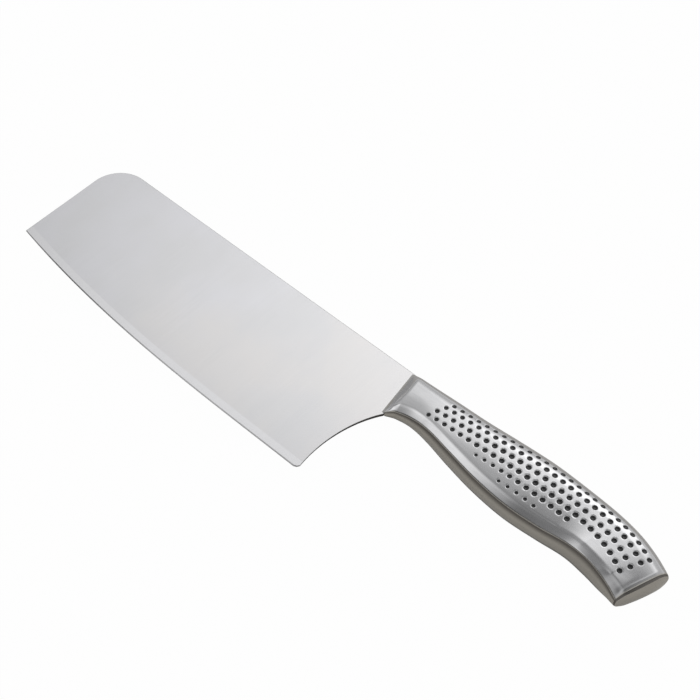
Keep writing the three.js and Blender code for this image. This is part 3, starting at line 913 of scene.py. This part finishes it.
def fill_tree(material):
    """A node tree that sets a dished drop of enamel on each point, turned to its facing."""
    tree = bpy.data.node_groups.new("enamel_drops", "GeometryNodeTree")
    graph = Graph(tree)
    sockets = {}
    for name, direction, kind in (
        ("Geometry", "INPUT", "NodeSocketGeometry"),
        ("Radius", "INPUT", "NodeSocketFloat"),
        ("Depth", "INPUT", "NodeSocketFloat"),
        ("Dish", "INPUT", "NodeSocketFloat"),
        ("Sides", "INPUT", "NodeSocketInt"),
        ("Geometry", "OUTPUT", "NodeSocketGeometry"),
    ):
        socket = tree.interface.new_socket(name, in_out=direction, socket_type=kind)
        sockets[name, direction] = socket
    given = tree.nodes.new("NodeGroupInput")
    take = {out.name: Value(graph, out) for out in given.outputs if out.name}
    inputs = {"Segments": take["Sides"], "Rings": 8, "Radius": 1.0}
    ball = graph.add("GeometryNodeMeshUVSphere", None, inputs)
    spot = graph.add("GeometryNodeInputPosition")
    x, y, height = graph.axes(spot)
    upper = height.of("MAXIMUM", 0.0) * take["Dish"]
    lower = height.of("MINIMUM", 0.0) * take["Depth"]
    place = graph.add("ShaderNodeCombineXYZ", None, {
        "X": x * take["Radius"],
        "Y": y * take["Radius"],
        "Z": lower - upper,
    })
    drop = graph.add("GeometryNodeSetPosition", None, {"Geometry": ball, "Position": place})
    kept = "GeometryNodeInputNamedAttribute"
    facing = graph.add(kept, {"data_type": "FLOAT_VECTOR"}, {"Name": "facing"})
    turn = graph.add("FunctionNodeAlignRotationToVector", {"axis": "Z"}, {"Vector": facing})
    size = graph.add(kept, {"data_type": "FLOAT"}, {"Name": "size"})
    drops = graph.add(
        "GeometryNodeInstanceOnPoints", None,
        {"Points": take["Geometry"], "Instance": drop, "Rotation": turn, "Scale": size},
    )
    real = graph.add("GeometryNodeRealizeInstances", None, {"Geometry": drops})
    smooth = graph.add("GeometryNodeSetShadeSmooth", None, {"Geometry": real})
    dressed = graph.add("GeometryNodeSetMaterial", None, {"Geometry": smooth, "Material": material})
    end = tree.nodes.new("NodeGroupOutput")
    tree.links.new(dressed.socket, end.inputs["Geometry"])
    return tree, {
        name: socket.identifier for (name, way), socket in sockets.items() if way == "INPUT"
    }


# An enamel drop's width by the dimple's, and its depth and dish by the room below its rim.
FILL_WIDTH, FILL_DEPTH, FILL_DISH = 0.95, 0.8, 0.5


def build_fills(name, spots, dimple, tree, names):
    """The enamel in the dimples of one side."""
    places = np.array([place - size * facing * dimple.fill_level for place, facing, size in spots])
    piece = make_piece(name, places, [], finish("black_dimple_enamel"))
    store = piece.data.attributes.new("facing", "FLOAT_VECTOR", "POINT")
    facings = np.array([facing for _, facing, _ in spots], np.float32)
    store.data.foreach_set("vector", facings.ravel())
    keep_number(piece, "size", [size for *_, size in spots])
    fill = piece.modifiers.new("drops", "NODES")
    fill.node_group = tree
    room = dimple.depth - dimple.fill_level
    fill[names["Radius"]] = FILL_WIDTH * dimple.diameter / 2
    fill[names["Depth"]] = FILL_DEPTH * room
    fill[names["Dish"]] = FILL_DISH * room
    fill[names["Sides"]] = dimple.segments
    plain_mesh(piece)
    return piece


# Welds and butt

# Belly number of the belly's seam bead, which gives it the belly strip's painted shade.
SEAM_BELLY = 0.5


def bead_line(handle, section, at_spine):
    """A seam bead's section: flush outside, rooted in the seam."""
    z = np.linspace(-handle.seam_half, handle.seam_half, 7)
    if at_spine:
        outside = section.back * (1 - np.sqrt(1 - (z / section.crest) ** 2))
        root = handle.seam_depth
    else:
        bulge = handle.belly_bulge * min(1, section.shoulder / handle.bulge_height)
        outside = section.width - bulge * (z / section.shoulder) ** 2
        root = section.width - handle.seam_depth
    skin = np.stack((outside, z), axis=1)
    return np.concatenate((skin, ((root, 0.5 * handle.seam_half), (root, -0.5 * handle.seam_half))))


def build_seam(name, form, at_spine):
    """The ground bead along the spine or the belly."""
    handle = form.handle
    rings = [
        section.place(bead_line(handle, section, at_spine))
        for section in map(Section, form.rows())
    ]
    steel = finish("ground_weld_steel" if at_spine else "satin_handle_steel")
    piece = make_piece(name, *capped(rings), steel, sharp=WELD_SHARP)
    # The belly number gives the belly's bead the belly strip's painted shade.
    keep_number(piece, "belly", np.full(len(piece.data.vertices), SEAM_BELLY))
    return piece


# The neck bead's gap over the blade, its height at the toe and the power of its sweep.
TOE_GAP, TOE_HEIGHT, TOE_SWEEP = 0.015 * MM, 0.02 * MM, 1.35


def build_neck_bead(form, blade):
    """The fillet bead along the neck on the left side: points and faces."""
    handle = form.handle
    section = Section(form.front)
    line = half_outline(handle, section, 0.0, handle.seam_half)
    line = line[(line[:, 1] > 1.05 * blade_half(blade, 0.0))]
    rings = []
    for across, top in line:
        run = np.linspace(-handle.weld_reach, 0, 9)
        rise = ((run + handle.weld_reach) / handle.weld_reach) ** TOE_SWEEP
        foot = blade_half(blade, section.place([(across, 0)])[0][1]) + TOE_GAP
        toe_top = foot + TOE_HEIGHT
        skin = np.stack((np.full(9, across), toe_top + (top - toe_top) * rise), axis=1)
        ring = np.concatenate((section.place(skin, run), section.place([(across, foot)], 0.0)))
        toe = section.place([(across, foot)], -handle.weld_reach)
        rings.append(np.concatenate((ring, toe)))
    return capped(rings)


def whole_outline(handle, section, inset, foot=0.0):
    """A closed section: the half outline and its mirror image."""
    upper = half_outline(handle, section, inset, foot)
    lower = upper[::-1] * (1, -1)
    return np.concatenate((upper[:-1], lower[:-1]))


# Belly numbers of the butt's face and of its rim, which paint the face brown-grey and the rim dark
# as painted shade, and the rim's share of the face's bow.
LENS_BELLY = 0.55
RIM_BELLY = 1.0
RIM_BOW = 0.45

# Rings of the butt's face from its brim to its middle, and the middle by the crown's height.
LENS_RINGS, LENS_MIDDLE = (0.1, 0.25, 0.45, 0.7, 1), 0.85


def build_butt(form):
    """The butt cap: a rim that draws in, a crisp edge and a bowed face."""
    handle = form.handle
    section = form.section(1.0)
    slope = handle.butt_taper / handle.butt_rim
    foot = handle.butt_bead + handle.seam_gap
    edge = handle.butt_round
    levels = [(slope * height, height) for height in np.linspace(foot, handle.butt_rim - edge, 4)]
    turn = np.linspace(0, math.pi / 2, 4)[1:]
    levels += [
        (handle.butt_taper - edge * slope + edge * (1 - math.cos(angle)),
         handle.butt_rim - edge * (1 - math.sin(angle))) for angle in turn
    ]
    brim, middle = levels[-1][0], LENS_MIDDLE * section.crest
    levels += [(brim + (middle - brim) * part, handle.butt_rim) for part in LENS_RINGS]
    rings, lens = [], []
    for inset, height in levels:
        outline = whole_outline(handle, section, inset)
        part = np.clip(outline[:, 0] / section.width, 0, 1)
        share_up = RIM_BOW * (height - foot) / (handle.butt_rim - foot)
        share_in = max(0, inset - brim) / (middle - brim)
        share_up += (1 - RIM_BOW) * share_in * (2 - share_in)
        bow = handle.butt_bulge * 4 * part * (1 - part) * share_up
        rings.append(section.place(outline, height + bow))
        # The face takes the belly strip's painted shade, the rim the crease's darker painted shade.
        lens.append(LENS_BELLY if height > handle.butt_rim - 0.5 * edge else RIM_BELLY)
    count = len(rings[0])
    faces = ring_faces(len(rings), count)
    last = (len(rings) - 1) * count
    for i in range(count // 2):
        corners = (i, i + 1, count - 1 - i, (count - i) % count)
        front = tuple(dict.fromkeys(corners))
        if len(front) > 2:
            faces.append(front)
            faces.append(tuple(last + k for k in front))
    steel = finish("satin_handle_steel")
    piece = make_piece("butt_cap_bowed", np.concatenate(rings), faces, steel, sharp=BUTT_SHARP)
    keep_number(piece, "belly", np.repeat(lens, count))
    return piece


def build_butt_bead(form):
    """The weld ring between the shells and the butt cap, ground flush."""
    handle = form.handle
    section = form.section(1.0)
    slope = handle.butt_taper / handle.butt_rim
    low, high, root = handle.seam_gap, handle.butt_bead, handle.seam_depth
    rings = []
    for height, depth in ((low, 0), (high, 0), (high, root), (low, root)):
        outline = whole_outline(handle, section, slope * height + depth)
        rings.append(section.place(outline, height))
    count = len(rings[0])
    rings.append(rings[0])
    faces = [tuple(k % (4 * count) for k in face) for face in ring_faces(len(rings), count)]
    steel = finish("satin_handle_steel")
    piece = make_piece("butt_bead", np.concatenate(rings[:-1]), faces, steel, sharp=BUTT_SHARP)
    # The bead takes the crease's dark painted shade.
    keep_number(piece, "belly", np.full(4 * count, RIM_BELLY))
    return piece


# Operators

class KnifeOperator:
    """What every building step shares."""

    bl_options = {"REGISTER", "UNDO"}


class KNIFE_OT_blade(KnifeOperator, bpy.types.Operator):
    """Build the blade"""

    bl_idname = "knife.blade"
    bl_label = "Blade"

    def execute(self, context):
        scene = context.scene
        settle(build_blade(scene.knife_blade, scene.knife_handle), "blade_steel", "blade")
        return {"FINISHED"}


class KNIFE_OT_shells(KnifeOperator, bpy.types.Operator):
    """Build the dimpled handle shells and the enamel in their dimples"""

    bl_idname = "knife.shells"
    bl_label = "Handle shells"

    def execute(self, context):
        scene = context.scene
        dimple = scene.knife_dimple
        form = HandleForm(scene.knife_handle)
        spots = dimple_spots(form, dimple.pitch)
        points, faces = turned(spots, pit_profile(dimple), dimple.segments)
        cutters = make_piece("dimple_cutters", points, faces, finish("satin_handle_steel"))
        left = build_shell(form, cutters)
        left.name = left.data.name = "handle_shell_left_pressed"
        left.data.polygons.foreach_set("use_smooth", [True] * len(left.data.polygons))
        left.data.set_sharp_from_angle(angle=math.radians(SHELL_SHARP))
        bpy.data.objects.remove(cutters)
        right = bpy.data.objects.new("handle_shell_right_pressed", left.data.copy())
        right.data.name = right.name
        scene.collection.objects.link(right)
        flip_over(right.data)
        settle(left, "handle_steel", "handle_shell_left")
        settle(right, "handle_steel", "handle_shell_right")
        tree, names = fill_tree(finish("black_dimple_enamel"))
        under = [(place * (1, 1, -1), facing * (1, 1, -1), size) for place, facing, size in spots]
        for name, places in (("dimple_enamel_left", spots), ("dimple_enamel_right", under)):
            settle(build_fills(name, places, dimple, tree, names), None)
        return {"FINISHED"}


def flip_over(mesh):
    """Turns a mesh into its mirror image across the knife's middle, faces still outward."""
    middle = origin()[2]
    for vertex in mesh.vertices:
        vertex.co.z = 2 * middle - vertex.co.z
    mesh.flip_normals()


class KNIFE_OT_welds(KnifeOperator, bpy.types.Operator):
    """Build the ground weld beads along the seams and the neck"""

    bl_idname = "knife.welds"
    bl_label = "Weld beads"

    def execute(self, context):
        scene = context.scene
        form = HandleForm(scene.knife_handle)
        weld = finish("ground_weld_steel")
        settle(build_seam("spine_seam_bead", form, True), "weld_steel", "spine_seam_weld")
        settle(build_seam("belly_seam_bead", form, False), "weld_steel", "belly_seam_weld")
        settle(build_butt_bead(form), "weld_steel", "butt_weld")
        points, faces = build_neck_bead(form, scene.knife_blade)
        left = make_piece("neck_bead_left", points, faces, weld, sharp=WELD_SHARP)
        mirrored = points * (1, 1, -1)
        right = make_piece("neck_bead_right", mirrored, faces, weld, sharp=WELD_SHARP)
        settle(left, "weld_steel", "neck_weld_left")
        settle(right, "weld_steel", "neck_weld_right")
        return {"FINISHED"}


class KNIFE_OT_butt(KnifeOperator, bpy.types.Operator):
    """Build the butt cap"""

    bl_idname = "knife.butt"
    bl_label = "Butt cap"

    def execute(self, context):
        scene = context.scene
        settle(build_butt(HandleForm(scene.knife_handle)), "handle_steel", "butt_cap")
        return {"FINISHED"}


class KNIFE_OT_sand(KnifeOperator, bpy.types.Operator):
    """Dress the balance sand inside the handle"""

    bl_idname = "knife.sand"
    bl_label = "Balance sand"

    def execute(self, context):
        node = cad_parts["balance_sand"]
        node.data.materials.clear()
        node.data.materials.append(finish("balance_sand_grains"))
        return {"FINISHED"}


# Stage

CAMERA_AZIMUTH = 42.8165
CAMERA_ELEVATION = 51.372
CAMERA_DISTANCE = 0.7
CAMERA_LENS = 88.0
CAMERA_TARGET = (-0.02685, -0.00793, 0.0)

# Flat light panels and dark flags above the knife, in a plane one unit up: their span along X
# and along Y, the softness of those edges, and what each adds to the dome's light. Most of them
# were fitted to the light and dark zones on the handle.
DOME_BASE = 0.596
DOME_PANELS = (
    ((-0.75, -0.07), (0.58, 3.00), (0.34, 0.18), 0.805),
    ((-0.98, -0.41), (-0.57, -0.11), (0.28, 0.17), 1.122),
    ((-0.20, -0.07), (-1.26, 0.52), (0.15, 0.13), -0.372),
    ((-1.55, -0.20), (-2.66, -0.05), (0.12, 0.19), -0.491),
    ((-0.78, 0.05), (0.44, 0.56), (0.13, 0.07), 0.424),
    ((0.02, 0.34), (0.19, 1.06), (0.03, 0.08), 0.379),
    ((-0.38, 0.41), (0.04, 0.35), (0.24, 0.29), -0.449),
    ((-0.20, -0.09), (-0.09, 0.42), (0.04, 0.06), 0.499),
    ((-0.25, -0.09), (0.17, 0.51), (0.05, 0.16), -0.058),
    ((0.30, 1.28), (-0.28, 0.13), (0.06, 0.31), -0.482),
    ((-60.00, -2.40), (-60.00, 7.00), (0.60, 0.40), -0.170),
    ((-0.60, -0.05), (0.64, 3.00), (0.12, 0.13), 0.330),
    ((-60.00, 60.00), (3.60, 60.00), (0.60, 0.60), 0.120),
)
DOME_LEAST = 0.04

# Directions lower than this count as this high.
DOME_LOWEST = 0.05

# Shares of white that the eye and the metal see in the floor; its size and its drop.
FLOOR_SEEN, FLOOR_MIRRORED = 0.985, 0.15
FLOOR_REACH, FLOOR_SIDES, FLOOR_DROP = 8.0, 64, 0.2 * MM


def facing_of(azimuth, elevation):
    """The direction from the target to a camera at that azimuth and elevation."""
    a, e = math.radians(azimuth), math.radians(elevation)
    return Vector((math.sin(a) * math.cos(e), -math.cos(a) * math.cos(e), math.sin(e)))


def build_camera(scene):
    """The camera at the photograph's angle."""
    data = bpy.data.cameras.new("camera")
    data.lens = CAMERA_LENS
    data.clip_start, data.clip_end = 0.01, 50
    camera = bpy.data.objects.new("camera", data)
    back = facing_of(CAMERA_AZIMUTH, CAMERA_ELEVATION)
    camera.location = Vector(origin()) + Vector(CAMERA_TARGET) + back * CAMERA_DISTANCE
    camera.rotation_mode = "QUATERNION"
    camera.rotation_quaternion = (-back).to_track_quat("-Z", "Y")
    scene.collection.objects.link(camera)
    scene.camera = camera


def build_dome(scene):
    """The studio dome: a plain pale surround with soft panels and dark flags."""
    world = bpy.data.worlds.new("studio_dome")
    world.use_nodes = True
    world.node_tree.nodes.clear()
    graph = Graph(world.node_tree)
    direction = graph.add("ShaderNodeTexCoord", output="Generated")
    *flat, up = graph.axes(direction)
    spots = [axis / up.of("MAXIMUM", DOME_LOWEST) for axis in flat]
    level = None
    for *spans, edges, strength in DOME_PANELS:
        panel = strength
        for spot, (low, high), edge in zip(spots, spans, edges):
            panel = graph.smooth(spot, low - edge, low + edge) * panel
            panel = graph.smooth(spot, high + edge, high - edge) * panel
        level = panel if level is None else level + panel
    level = (level + DOME_BASE).of("MAXIMUM", DOME_LEAST)
    light = graph.add("ShaderNodeBackground", None, {"Color": (1, 1, 1, 1), "Strength": level})
    graph.add("ShaderNodeOutputWorld", None, {"Surface": light})
    scene.world = world


def build_floor(scene):
    """A large pale floor that stays white to the eye and keeps a soft shadow."""
    material, graph = finish_graph("studio_floor")
    path = graph.add("ShaderNodeLightPath")
    outputs = path.socket.node.outputs
    seen, glossy, through = (
        Value(graph, outputs[f"Is {ray} Ray"]) for ray in ("Camera", "Glossy", "Transmission")
    )
    mirrored = glossy.of("MAXIMUM", through) * FLOOR_MIRRORED
    share_lit = (seen * FLOOR_SEEN).of("MAXIMUM", mirrored)
    pale = opaque(scene.knife_finish.floor)
    matte = graph.add("ShaderNodeBsdfDiffuse", None, {"Color": pale})
    glow = graph.add("ShaderNodeEmission", None, {"Color": (1, 1, 1, 1), "Strength": 1.0})
    surface = graph.add("ShaderNodeMixShader", None, {0: share_lit, 1: matte, 2: glow})
    graph.add("ShaderNodeOutputMaterial", None, {"Surface": surface})
    mesh = bpy.data.meshes.new("studio_floor")
    height = CAD_LOW.z - FLOOR_DROP
    turns = np.arange(FLOOR_SIDES) * 2 * math.pi / FLOOR_SIDES
    ring = [
        (FLOOR_REACH * math.cos(turn), FLOOR_REACH * math.sin(turn), height) for turn in turns
    ]
    mesh.from_pydata(ring, [], [tuple(range(FLOOR_SIDES))])
    mesh.materials.append(material)
    floor = bpy.data.objects.new("studio_floor", mesh)
    scene.collection.objects.link(floor)


class KNIFE_OT_stage(KnifeOperator, bpy.types.Operator):
    """Set the camera, the studio dome and the floor"""

    bl_idname = "knife.stage"
    bl_label = "Stage"

    def execute(self, context):
        scene = context.scene
        scene.view_settings.view_transform = "Standard"
        build_camera(scene)
        build_dome(scene)
        build_floor(scene)
        return {"FINISHED"}


class KNIFE_PT_panel(bpy.types.Panel):
    """Sizes and building steps of the knife"""

    bl_idname = "KNIFE_PT_panel"
    bl_label = "Kitchen Knife"
    bl_space_type = "VIEW_3D"
    bl_region_type = "UI"
    bl_category = "Knife"

    def draw(self, context):
        for step in STEPS_IN_ORDER:
            self.layout.operator(step.bl_idname)
        for name in SETTINGS:
            settings = getattr(context.scene, name)
            box = self.layout.box()
            for key in settings.__annotations__:
                box.prop(settings, key)


SETTINGS = {
    "knife_blade": BladeSettings,
    "knife_handle": HandleSettings,
    "knife_dimple": DimpleSettings,
    "knife_finish": FinishSettings,
}
STEPS_IN_ORDER = (
    KNIFE_OT_blade,
    KNIFE_OT_shells,
    KNIFE_OT_welds,
    KNIFE_OT_butt,
    KNIFE_OT_sand,
    KNIFE_OT_stage,
)


def register():
    """Adds the settings, the steps and the panel."""
    for kind in (*SETTINGS.values(), *STEPS_IN_ORDER, KNIFE_PT_panel):
        bpy.utils.register_class(kind)
    for name, kind in SETTINGS.items():
        setattr(bpy.types.Scene, name, PointerProperty(type=kind))


def unregister():
    """Takes them away again."""
    for name in SETTINGS:
        delattr(bpy.types.Scene, name)
    for kind in reversed((*SETTINGS.values(), *STEPS_IN_ORDER, KNIFE_PT_panel)):
        bpy.utils.unregister_class(kind)


def main():
    """Builds the knife."""
    register()
    bpy.ops.knife.blade()
    bpy.ops.knife.shells()
    bpy.ops.knife.welds()
    bpy.ops.knife.butt()
    bpy.ops.knife.sand()
    bpy.ops.knife.stage()


if __name__ == "__main__":
    main()
